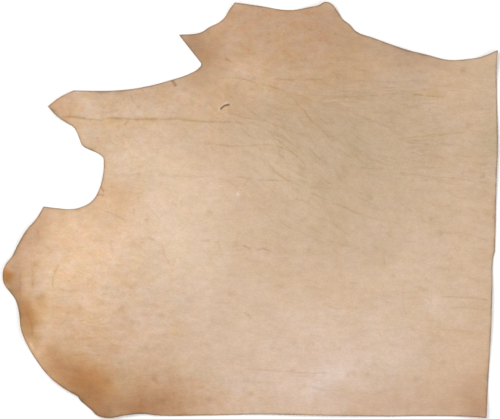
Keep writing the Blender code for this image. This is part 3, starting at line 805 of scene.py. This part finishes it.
def scatterPoints(cut, step, lines):
    # the sheet's points: the cut line first, then rows inside it, rows along each crease, and plain ones
    rims = len(cut)
    rows = []
    if lines:
        rows = [(cut + inwardFrom(cut) * inset, gap) for inset, gap in hide["rimRows"]]
    for line in lines:
        rows += rowsAlong(line)
    rows.append((plainPoints(step), step * plainNet["gapShare"]))
    loose = np.vstack([points for points, gap in rows])
    gaps = np.concatenate([np.full(len(points), gap) for points, gap in rows])
    inside = insideCut(cut, loose)
    sieve = PointSieve()
    for x, y in cut:
        sieve.add(x, y, 0)
    for (x, y), gap in zip(loose[inside].tolist(), gaps[inside].tolist()):
        sieve.add(x, y, gap)
    insideOnly = 1
    made, _, faces, fromPoint, _, _ = delaunay_2d_cdt(
        [Vector(p) for p in sieve.points], [], [list(range(rims))], insideOnly, joinWithin, True)
    # the cut line's points keep their places at the head of the list
    order = {old: new for new, olds in enumerate(fromPoint) for old in olds}
    head = [order[i] for i in range(rims)]
    taken = set(head)
    kept = head + [i for i in range(len(made)) if i not in taken]
    place = {old: new for new, old in enumerate(kept)}
    points = np.array([made[i][:] for i in kept])
    triangles = np.array([[place[i] for i in face] for face in faces])
    triangles = dropSlivers(triangles[insideCut(cut, points[triangles].mean(1))], rims)
    return points, triangles.tolist()


# heights and paint over the sheet
def inPatch(xs, ys, cx, cy, along, across, turn):
    # each point's place in a turned patch, as shares of its reach along and across
    cosine, sine = turnOf(turn)
    return ((xs - cx) * cosine + (ys - cy) * sine) / along, ((ys - cy) * cosine - (xs - cx) * sine) / across


def standOff(xs, ys):
    # how far the flesh side stands off the floor, and its slope
    height, slopeX, slopeY = np.zeros_like(xs), np.zeros_like(xs), np.zeros_like(xs)
    for cx, cy, along, across, turn, top in lifts.values():
        cosine, sine = turnOf(turn)
        u, v = inPatch(xs, ys, cx, cy, along, across, turn)
        left = np.clip(1 - u * u - v * v, 0, None)
        height += top * left ** 2
        slopeX += 4 * top * left * (v * sine / across - u * cosine / along)
        slopeY -= 4 * top * left * (u * sine / along + v * cosine / across)
    return height, slopeX, slopeY


def lineField(xs, ys, lines):
    # the relief and the darkness that a set of lines leaves at each point
    profile = creaseProfile
    relief, dark = np.zeros_like(xs), np.zeros_like(xs)
    for line in lines:
        run, strength, width = line["run"], line["strength"], line["width"]
        reach = profile["reach"] * width
        near = np.where((xs > run[:, 0].min() - reach) & (xs < run[:, 0].max() + reach)
                        & (ys > run[:, 1].min() - reach) & (ys < run[:, 1].max() + reach))[0]
        if not len(near):
            continue
        nearest = np.full(len(near), np.inf)
        power = np.zeros(len(near))
        for k in range(len(run) - 1):
            ax, ay = run[k]
            bx, by = run[k + 1] - run[k]
            t = ((xs[near] - ax) * bx + (ys[near] - ay) * by) / (bx * bx + by * by + 1e-9)    # never by 0
            t = np.clip(t, 0, 1)
            away = np.hypot(xs[near] - ax - t * bx, ys[near] - ay - t * by)
            closer = away < nearest
            nearest[closer] = away[closer]
            power[closer] = (strength[k] + t * (strength[k + 1] - strength[k]))[closer]
        trough = np.exp(-(nearest / width) ** 2)
        pastShoulder = nearest - profile["shoulderPlace"] * width
        shoulder = np.exp(-(pastShoulder / (profile["shoulderWidth"] * width)) ** 2)
        relief[near] += line["depth"] * power * (profile["shoulder"] * shoulder - trough)
        dark[near] = np.maximum(dark[near], line["dark"] * power * trough)
    return relief, dark


def ellipse(xs, ys, *patch):
    # 1 in the middle of a patch, fading to 0 at its rim
    u, v = inPatch(xs, ys, *patch)
    return np.clip(1 - (u * u + v * v) / patchFall, 0, 1) ** 2


def paintStainsAndShades(xs, ys):
    # the grain's soft colours, with some painted shade and a painted highlight among them, as painted in the
    # list of stains and shades
    long, short, share = grainLooks["patchWaves"]
    one, two, three, four = seeds["stainsAndShades"]
    moved = np.array([(wander(x, y, one, long) + share * wander(x, y, two, short),
                       wander(x, y, three, long) + share * wander(x, y, four, short))
                      for x, y in zip(xs, ys)]) * grainLooks["patchWander"]
    px, py = xs + moved[:, 0], ys + moved[:, 1]
    tone = np.log(np.array(grainLooks["tan"]))[None, :].repeat(len(xs), 0)
    # some of these patches are painted shade and one a painted highlight
    for *patch, keeps in stainsAndShades.values():
        tone += ellipse(px, py, *patch)[:, None] * np.log(np.array(keeps))[None, :]
    return np.clip(np.exp(tone), 0, grainLooks["palest"])


def shadeAlongCut(cut, grain):
    # how dark each point is painted, partly as shade, from its distance to the cut line
    width, strength = np.zeros(len(cut)), np.zeros(len(cut))
    for x, y, reach, wide, strong in cutLineShade.values():
        share = np.exp(-((cut[:, 0] - x) ** 2 + (cut[:, 1] - y) ** 2) / reach ** 2)
        width = np.maximum(width, wide * share)
        strength = np.maximum(strength, strong * share)
    tree = KDTree(len(cut))
    for number, (x, y) in enumerate(cut):
        tree.insert((x, y, 0), number)
    tree.balance()
    rough, length = cutShadeRough
    shadeNearCut = np.zeros(len(grain))
    for number, (x, y) in enumerate(grain):
        _, nearest, away = tree.find((x, y, 0))
        if away < cutShadeReach:
            uneven = 1 + rough * wander(x, y, seeds["edgeShade"], length)
            shadeNearCut[number] = strength[nearest] * uneven * math.exp(
                -(away / (width[nearest] * uneven + cutShadeSpread)) ** 2)
    return shadeNearCut


def grainFields(cut, grain, lines):
    # the relief of the grain side, and what its material reads at each point
    xs, ys = grain[:, 0], grain[:, 1]
    # painted shade just below some main creases
    wide, share, below = grainLooks["shadeBelow"]
    shadesBelow = [dict(line, width=line["width"] * wide, dark=line["dark"] * share)
             for name, line in zip(creases, lines["ochre"]) if name in shadedCreases]
    creaseRelief, crease = lineField(xs, ys, lines["ochre"] + lines["darkMarks"])
    wrinkleRelief, wrinkle = lineField(xs, ys, lines["grey"] + lines["wrinkles"])
    paleRelief, paleLine = lineField(xs, ys, lines["pale"])
    cutRelief, darkCut = lineField(xs, ys, lines["cuts"])
    relief = creaseRelief + wrinkleRelief + paleRelief + cutRelief
    relief += hide["unevenness"] * np.array(
        [sum(part * wander(x, y, seed, length) for part, length, seed in hide["unevenWaves"])
         for x, y in grain])
    relief[:len(cut)] -= hide["rimRound"]
    return relief, {
        "crease": crease,
        "wrinkle": wrinkle,
        "paleLine": paleLine,
        "darkCut": darkCut,
        "palePlace": lineField(xs, ys, lines["paleMarks"])[1],
        "creaseShadeBelow": lineField(xs, ys + below, shadesBelow)[1],
        "cutEdge": shadeAlongCut(cut, grain),
    }


def shapeSheet(cut, grain, flesh, relief):
    # all the sheet's points in mm: the grain side, the rows up the cut edge, then the flesh side
    rims = len(cut)
    fleshZ = standOff(flesh[:, 0], flesh[:, 1])[0]
    # the grain side is one thickness along the normal above it, with its creases pressed in
    height, slopeX, slopeY = standOff(grain[:, 0], grain[:, 1])
    long = np.sqrt(1 + slopeX ** 2 + slopeY ** 2)
    thick = hide["thickness"] + relief
    grainX = grain[:, 0] - slopeX / long * thick
    grainY = grain[:, 1] - slopeY / long * thick
    grainZ = height + thick / long
    wallRows = []
    inward = inwardFrom(cut)
    roughness, length = hide["wallRough"]
    for share in hide["wallRows"]:
        rough = np.array([roughness * wander(x, y, seeds["wall"] + share, length) for x, y in cut])
        x = cut[:, 0] + (grainX[:rims] - cut[:, 0]) * share - inward[:, 0] * rough
        y = cut[:, 1] + (grainY[:rims] - cut[:, 1]) * share - inward[:, 1] * rough
        z = fleshZ[:rims] + (grainZ[:rims] + hide["rimRound"] - fleshZ[:rims]) * share
        wallRows.append(np.stack([x, y, z], 1))
    grainX[:rims] += inward[:, 0] * hide["rimRound"] * hide["rimRoundIn"]
    grainY[:rims] += inward[:, 1] * hide["rimRound"] * hide["rimRoundIn"]
    return np.vstack([np.stack([grainX, grainY, grainZ], 1), *wallRows, np.column_stack([flesh, fleshZ])])


def joinSheet(rims, grainPoints, grainFaces, fleshFaces):
    # the faces, each with its material: 0 for the grain, 1 for the cut edge, 2 for the flesh side
    firstRow, secondRow = grainPoints, grainPoints + rims
    firstFlesh = grainPoints + 2 * rims
    faces = [tuple(face) for face in grainFaces]
    kinds = [0] * len(faces)
    ladder = (firstFlesh, firstRow, secondRow, 0)
    for low, high in zip(ladder, ladder[1:]):
        for i in range(rims):
            j = (i + 1) % rims
            faces.append((low + j, low + i, high + i, high + j))
            kinds.append(1)
    for face in fleshFaces:
        faces.append(tuple(firstFlesh + i for i in reversed(face)))
        kinds.append(2)
    return faces, kinds


def addAttribute(mesh, name, values):
    if values.ndim == 2:
        layer = mesh.attributes.new(name, "FLOAT_COLOR", "POINT")
        layer.data.foreach_set("color", np.hstack([values, np.ones((len(values), 1))]).ravel())
    else:
        mesh.attributes.new(name, "FLOAT", "POINT").data.foreach_set("value", values)


def makeHide():
    cut = traceCutLine()
    print("cut line:", len(cut), "points")
    lines = drawLines()
    carried = [line for kind in ("cuts", "pale", "ochre", "grey", "wrinkles", "darkMarks", "paleMarks")
               for line in lines[kind]]
    grain, grainFaces = scatterPoints(cut, hide["grainStep"], carried)
    flesh, fleshFaces = scatterPoints(cut, hide["fleshStep"], [])
    print("grain side:", len(grainFaces), "triangles; flesh side:", len(fleshFaces))

    relief, fields = grainFields(cut, grain, lines)
    points = shapeSheet(cut, grain, flesh, relief) * mm
    faces, kinds = joinSheet(len(cut), len(grain), grainFaces, fleshFaces)
    mesh = bpy.data.meshes.new("leatherHide")
    mesh.from_pydata(points.tolist(), [], faces)
    mesh.polygons.foreach_set("material_index", kinds)

    xs, ys = points[:, 0] / mm, points[:, 1] / mm
    others = np.zeros(len(points) - len(grain))
    addAttribute(mesh, "tanTone", paintStainsAndShades(xs, ys))
    for name, values in fields.items():
        addAttribute(mesh, name, np.concatenate([values, others]))
    for name, patches in grainAreas.items():
        addAttribute(mesh, name, np.max([ellipse(xs, ys, *patch) for patch in patches], axis=0))

    piece = bpy.data.objects.new("leatherHide", mesh)
    bpy.context.scene.collection.objects.link(piece)
    makeActive(piece)
    bpy.ops.object.shade_smooth_by_angle(angle=math.radians(hide["smoothAngle"]))
    return piece


# the patterns of the leather: scales to the metre
mottleNoise = {     # scale, detail and roughness
    "Clouds": (13, 3, 0.5),
    "Tints": (34, 3, 0.6),
    "Hues": (60, 4, 0.6),
    "Blotches": (72, 3, 0.5),
    "Speckle": (300, 3, 0.6),
}
mottleShift = (0.7, 1.3, 2.1)       # keeps one pattern from lying over the next
fibreNoise = {
    "lays": ((24, 90, 900), (-38, 110, 800)),       # each lay's turn, and its scale along and across
    "detail": 4,
    "rough": 0.65,
    "distort": 0.6,
}
grainTexture = {
    "mottleRange": (0.3, 0.7),                  # from the dark places to the pale ones
    "streaks": (34, 96, 3, 0.6),                # scale along and across, detail, roughness
    "grit": (150, 420, 3, 0.6),
    "streakTurns": (-5, -37),                   # level, and on the slant
    "streakRange": (0.32, 0.68),
    "loose": (3, 40, 84, 3, 0.55),              # turn, scale along and across, detail, roughness
    "looseRange": (0.36, 0.64),
    "fine": (13, 120, 3, 0.55, 0.4),            # the same as streaks, and how distorted
    "fineFields": (("neckLines", -4, 25.6), ("slantLines", -35, 22.5)),     # turn, and scale of the gaps
    "fineWidth": 0.035,
    "gapNoise": (2, 0.5),
    "gapRange": (0.42, 0.62),
    "broken": (210, 3, 0.6),                    # scale, detail and roughness of the breaks in a crease
    "brokenRange": (0.30, 0.62, 0.62, 1.0),
    "pores": 620,
    "poreSize": (0.08, 0.34),
    "flecks": 72,
    "fleckSize": (0.02, 0.36),
    "fleckChosen": (0.5, 0.7),
    "pebbles": 760,
    # how high each stands in metres, and how much of it the normal takes
    "pebbleBump": (0.00010, 0.45),
    "speckleBump": (0.0005, 0.35),
    "fineBump": (0.00018, 1.0),
    "poreBump": (0.00006, 0.6),
}


# materials
def node(tree, kind, **settings):
    made = tree.nodes.new(kind)
    for name, value in settings.items():
        setattr(made, name, value)
    return made


def feed(tree, target, source):
    # a number or colour goes on the socket, and anything else is a link
    if isinstance(source, (int, float, tuple)):
        target.default_value = source
    else:
        tree.links.new(source, target)


def calc(tree, operation, a, b=None, limit=False):
    made = node(tree, "ShaderNodeMath", operation=operation, use_clamp=limit)
    feed(tree, made.inputs[0], a)
    if b is not None:
        feed(tree, made.inputs[1], b)
    return made.outputs[0]


def remap(tree, value, low, high, toLow=0.0, toHigh=1.0):
    made = node(tree, "ShaderNodeMapRange", interpolation_type="SMOOTHSTEP")
    feed(tree, made.inputs["Value"], value)
    for socket, number in (("From Min", low), ("From Max", high), ("To Min", toLow), ("To Max", toHigh)):
        made.inputs[socket].default_value = number
    return made.outputs["Result"]


def blendColours(tree, amount, a, b, how="MIX"):
    made = node(tree, "ShaderNodeMix", data_type="RGBA", blend_type=how)
    feed(tree, made.inputs[0], amount)
    feed(tree, made.inputs[6], a if not isinstance(a, tuple) else (*a, 1))
    feed(tree, made.inputs[7], b if not isinstance(b, tuple) else (*b, 1))
    return made.outputs[2]


def tintColour(tree, amount, colour, keeps):
    # where amount is 1, the colour keeps only this much
    return blendColours(tree, amount, colour, blendColours(tree, 1.0, colour, keeps, "MULTIPLY"))


def noiseOf(tree, where, scale, detail, rough, distort=0.0):
    made = node(tree, "ShaderNodeTexNoise")
    tree.links.new(where, made.inputs["Vector"])
    for socket, number in (("Scale", scale), ("Detail", detail), ("Roughness", rough),
                           ("Distortion", distort)):
        made.inputs[socket].default_value = number
    return made.outputs[0]


def cellsOf(tree, where, scale, feature="F1"):
    made = node(tree, "ShaderNodeTexVoronoi", feature=feature)
    tree.links.new(where, made.inputs["Vector"])
    made.inputs["Scale"].default_value = scale
    return made


def stretched(tree, where, turn, alongScale, acrossScale):
    made = node(tree, "ShaderNodeMapping", vector_type="TEXTURE")
    tree.links.new(where, made.inputs["Vector"])
    made.inputs["Rotation"].default_value = (0, 0, math.radians(turn))
    made.inputs["Scale"].default_value = (1 / alongScale, 1 / acrossScale, 1 / acrossScale)
    return made.outputs[0]


def streaksOf(tree, where, turn, alongScale, acrossScale, detail, rough, distort=0.0):
    # the mapping has scaled it already
    return noiseOf(tree, stretched(tree, where, turn, alongScale, acrossScale), 1, detail, rough, distort)


def bump(tree, height, distance, strength=1.0, normal=None):
    made = node(tree, "ShaderNodeBump")
    made.inputs["Strength"].default_value = strength
    made.inputs["Distance"].default_value = distance
    tree.links.new(height, made.inputs["Height"])
    if normal is not None:
        tree.links.new(normal, made.inputs["Normal"])
    return made.outputs[0]


def attribute(tree, name, output="Fac"):
    return node(tree, "ShaderNodeAttribute", attribute_type="GEOMETRY", attribute_name=name).outputs[output]


def startGroup(name, outputs):
    group = bpy.data.node_groups.new(name, "ShaderNodeTree")
    group.interface.new_socket("Vector", in_out="INPUT", socket_type="NodeSocketVector")
    for output in outputs:
        group.interface.new_socket(output, in_out="OUTPUT", socket_type="NodeSocketFloat")
    return group, node(group, "NodeGroupInput").outputs["Vector"], node(group, "NodeGroupOutput").inputs


def leatherMottle():
    # clouds, blotches and speckle of tanned hide, used on all its sides
    group, where, ends = startGroup("leatherMottle", mottleNoise)
    for row, (name, looks) in enumerate(mottleNoise.items()):
        moved = node(group, "ShaderNodeVectorMath", operation="ADD")
        group.links.new(where, moved.inputs[0])
        moved.inputs[1].default_value = tuple(shift * row for shift in mottleShift)
        group.links.new(noiseOf(group, moved.outputs[0], *looks), ends[name])
    return group


def fibreField():
    # loose matted fibres of the cut edge and the flesh side
    group, where, ends = startGroup("fibreField", ("Fibres",))
    matted = (fibreNoise["detail"], fibreNoise["rough"], fibreNoise["distort"])
    one, two = [streaksOf(group, where, *lay, *matted) for lay in fibreNoise["lays"]]
    group.links.new(calc(group, "ADD", calc(group, "MULTIPLY", one, 0.5), calc(group, "MULTIPLY", two, 0.5)),
                    ends["Fibres"])
    return group


def startMaterial(name):
    material = bpy.data.materials.new(name)
    material.use_nodes = True
    tree = material.node_tree
    shader = tree.nodes["Principled BSDF"]
    where = node(tree, "ShaderNodeTexCoord").outputs["Object"]
    return material, tree, shader, where


def placeGroup(tree, group, where):
    made = node(tree, "ShaderNodeGroup", node_tree=group)
    tree.links.new(where, made.inputs["Vector"])
    return made.outputs


def mottleColour(tree, where, clouds, lively):
    # clouds, tints, blotches and speckle: each one darker and warmer here, paler and cooler there
    looks, texture = grainLooks, grainTexture
    colour = attribute(tree, "tanTone", "Color")
    for name, dark, light, calm in looks["mottle"]:
        share = remap(tree, clouds[name], *texture["mottleRange"])
        colour = blendColours(tree, remap(tree, lively, 0, 1, calm), colour,
                              blendColours(tree, share, dark, light), "MULTIPLY")
    # short broken streaks of the grain, turned the way the wrinkles run
    turned = attribute(tree, "slantLines")
    for name in ("streaks", "grit"):
        level, slanted = [streaksOf(tree, where, turn, *texture[name]) for turn in texture["streakTurns"]]
        run = calc(tree, "ADD", calc(tree, "MULTIPLY", slanted, turned),
                   calc(tree, "MULTIPLY", level, calc(tree, "SUBTRACT", 1.0, turned)))
        dark, light, calm = looks[name]
        colour = blendColours(tree, remap(tree, lively, 0, 1, calm), colour,
                              blendColours(tree, remap(tree, run, *texture["streakRange"]), dark, light),
                              "MULTIPLY")
    colour = tintColour(tree, attribute(tree, "palePlace"), colour, looks["paleGain"])
    # soft level patches of the loose hide at the belly, the rump and the shank
    patch = remap(tree, streaksOf(tree, where, *texture["loose"]), *texture["looseRange"])
    return tintColour(tree, attribute(tree, "looseHide"), colour, blendColours(tree, patch, *looks["loose"]))


def fineWrinkles(tree, where):
    # wrinkles too fine to model, along the neck and on the slant
    texture = grainTexture
    fine = None
    for mask, turn, gapScale in texture["fineFields"]:
        field = streaksOf(tree, where, turn, *texture["fine"])
        away = calc(tree, "ABSOLUTE", calc(tree, "SUBTRACT", field, 0.5))
        thin = remap(tree, away, 0, texture["fineWidth"], 1, 0)
        patchy = remap(tree, noiseOf(tree, where, gapScale, *texture["gapNoise"]), *texture["gapRange"])
        one = calc(tree, "MULTIPLY", calc(tree, "MULTIPLY", thin, patchy), attribute(tree, mask))
        fine = one if fine is None else calc(tree, "MAXIMUM", fine, one)
    return fine


def creaseColour(tree, where, colour):
    # pale cuts and painted highlights, then the painted shade below the creases, the modelled wrinkles and
    # the creases, which hold more tan, and the dark cuts with their painted shade
    looks, texture = grainLooks, grainTexture
    pale = calc(tree, "MINIMUM", attribute(tree, "paleLine"), 1.0)
    colour = blendColours(tree, pale, colour, looks["paleLine"])
    # the painted shade just below the main creases
    colour = tintColour(tree, attribute(tree, "creaseShadeBelow"), colour, looks["shadeBelowKeeps"])
    broken = remap(tree, noiseOf(tree, where, *texture["broken"]), *texture["brokenRange"])
    lines = None
    for name, keeps in (("wrinkle", looks["greyKeeps"]), ("crease", looks["creaseKeeps"])):
        share = calc(tree, "MULTIPLY", attribute(tree, name), broken)
        share = calc(tree, "MULTIPLY", share, looks["lineShare"], limit=True)
        colour = tintColour(tree, share, colour, keeps)
        lines = share if lines is None else calc(tree, "MAXIMUM", lines, share)
    # the dark cuts take the painted shade down in a cut
    return blendColours(tree, attribute(tree, "darkCut"), colour, looks["shadeInCut"]), lines


def fleckShares(tree, where):
    # warm flecks of the neck and the loose parts: only some of the cells hold one
    texture = grainTexture
    cells = cellsOf(tree, where, texture["flecks"])
    channels = node(tree, "ShaderNodeSeparateColor")
    tree.links.new(cells.outputs["Color"], channels.inputs[0])
    chosen = remap(tree, channels.outputs[0], *texture["fleckChosen"])
    return calc(tree, "MULTIPLY", remap(tree, cells.outputs["Distance"], *texture["fleckSize"], 1, 0), chosen)


def grainMaterial(mottle):
    material, tree, shader, where = startMaterial("naturalGrain")
    looks, texture = grainLooks, grainTexture
    clouds = placeGroup(tree, mottle, where)
    lively = attribute(tree, "livelyGrain")
    fine = fineWrinkles(tree, where)
    cells = cellsOf(tree, where, texture["pores"])
    pores = remap(tree, cells.outputs["Distance"], *texture["poreSize"], 1, 0)

    colour = mottleColour(tree, where, clouds, lively)
    colour = tintColour(tree, calc(tree, "MULTIPLY", fine, looks["fineShare"]), colour, looks["creaseKeeps"])
    colour, lines = creaseColour(tree, where, colour)
    colour = tintColour(tree, calc(tree, "MULTIPLY", pores, looks["poreShare"]), colour, looks["pore"])
    colour = tintColour(tree, calc(tree, "MULTIPLY", fleckShares(tree, where), lively), colour, looks["fleck"])
    # the dark line along the cut: the edge's own colour and painted shade
    shadeNearCut = calc(tree, "MINIMUM", attribute(tree, "cutEdge"), 1.0)
    tree.links.new(tintColour(tree, shadeNearCut, colour, looks["edgeKeeps"]), shader.inputs["Base Color"])

    rough = remap(tree, clouds["Blotches"], *texture["mottleRange"], *looks["roughness"])
    tree.links.new(calc(tree, "ADD", rough, calc(tree, "MULTIPLY", lines, looks["creaseRoughness"])),
                   shader.inputs["Roughness"])
    shader.inputs["Specular IOR Level"].default_value = looks["shine"]

    # pebbled grain, pores and fine wrinkles stand in the normal
    pebbles = cellsOf(tree, where, texture["pebbles"], "SMOOTH_F1").outputs["Distance"]
    normal = bump(tree, pebbles, *texture["pebbleBump"])
    normal = bump(tree, clouds["Speckle"], *texture["speckleBump"], normal)
    normal = bump(tree, calc(tree, "MULTIPLY", fine, -1.0), *texture["fineBump"], normal)
    normal = bump(tree, calc(tree, "MULTIPLY", pores, -1.0), *texture["poreBump"], normal)
    tree.links.new(normal, shader.inputs["Normal"])
    return material


def fibreMaterial(name, looks, mottle, fibres):
    material, tree, shader, where = startMaterial(name)
    texture = grainTexture
    clouds = placeGroup(tree, mottle, where)
    matted = placeGroup(tree, fibres, where)["Fibres"]
    colour = blendColours(tree, remap(tree, matted, *texture["looseRange"]), looks["dark"], looks["light"])
    shade = remap(tree, clouds["Blotches"], *texture["mottleRange"], 0, fibreLooks["shadeShare"])
    tree.links.new(tintColour(tree, shade, colour, fibreLooks["shade"]), shader.inputs["Base Color"])
    tree.links.new(remap(tree, clouds["Speckle"], *texture["mottleRange"], *looks["roughness"]),
                   shader.inputs["Roughness"])
    shader.inputs["Specular IOR Level"].default_value = fibreLooks["shine"]
    tree.links.new(bump(tree, matted, looks["fibreHeight"]), shader.inputs["Normal"])
    return material


def dressHide(piece):
    mottle, fibres = leatherMottle(), fibreField()
    for material in (grainMaterial(mottle), fibreMaterial("cutEdgeFibre", edgeLooks, mottle, fibres),
                     fibreMaterial("fleshSide", fleshLooks, mottle, fibres)):    # in the order of the kinds
        piece.data.materials.append(material)
    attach(piece, "root")
    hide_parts("leather_side")


# floor, light and camera
def makeFloor():
    light = studioLight
    bpy.ops.object.select_all(action="DESELECT")
    bpy.ops.mesh.primitive_plane_add(size=light["floorSize"], location=(0, 0, -light["floorDrop"]))
    floor = bpy.context.object
    floor.name = "paleFloor"
    bpy.ops.object.transform_apply(location=True, rotation=True, scale=True)
    material = bpy.data.materials.new("paleFloor")
    material.use_nodes = True
    shader = material.node_tree.nodes["Principled BSDF"]
    shader.inputs["Base Color"].default_value = (*light["floorColour"], 1)
    shader.inputs["Roughness"].default_value = light["floorRoughness"]
    shader.inputs["Specular IOR Level"].default_value = light["floorShine"]
    floor.data.materials.append(material)


def addSoftLight(name, place, size, power):
    lamp = bpy.data.lights.new(name, "AREA")
    lamp.shape = "SQUARE"
    lamp.size = size
    lamp.energy = power
    holder = bpy.data.objects.new(name, lamp)
    holder.location = place
    holder.rotation_euler = (-Vector(place)).to_track_quat("-Z", "Y").to_euler()
    holder.visible_camera = False
    bpy.context.scene.collection.objects.link(holder)


def setStudio():
    light = studioLight
    world = bpy.data.worlds.new("softStudio")
    world.use_nodes = True
    back = world.node_tree.nodes["Background"]
    back.inputs["Color"].default_value = (*light["worldColour"], 1)
    back.inputs["Strength"].default_value = light["worldStrength"]
    bpy.context.scene.world = world
    addSoftLight("keyLight", light["keyPlace"], light["keySize"], light["keyPower"])
    addSoftLight("fillLight", light["fillPlace"], light["fillSize"], light["fillPower"])
    bpy.context.scene.view_settings.view_transform = "Standard"
    bpy.context.scene.view_settings.look = "None"


def setCamera():
    view = viewFromAbove
    lens = bpy.data.cameras.new("fromAbove")
    lens.type = "PERSP"
    lens.sensor_width = view["sensor"]
    lens.lens = view["lens"]
    lens.clip_end = view["farthest"]
    holder = bpy.data.objects.new("fromAbove", lens)
    away = view["pictureWidth"] * view["lens"] / view["sensor"]
    holder.location = (*view["over"], away + view["grainHeight"])
    bpy.context.scene.collection.objects.link(holder)
    bpy.context.scene.camera = holder


setCamera()
print("camera set")
leatherHide = makeHide()
print("hide made")
dressHide(leatherHide)
print("hide dressed")
makeFloor()
setStudio()
print("studio set")
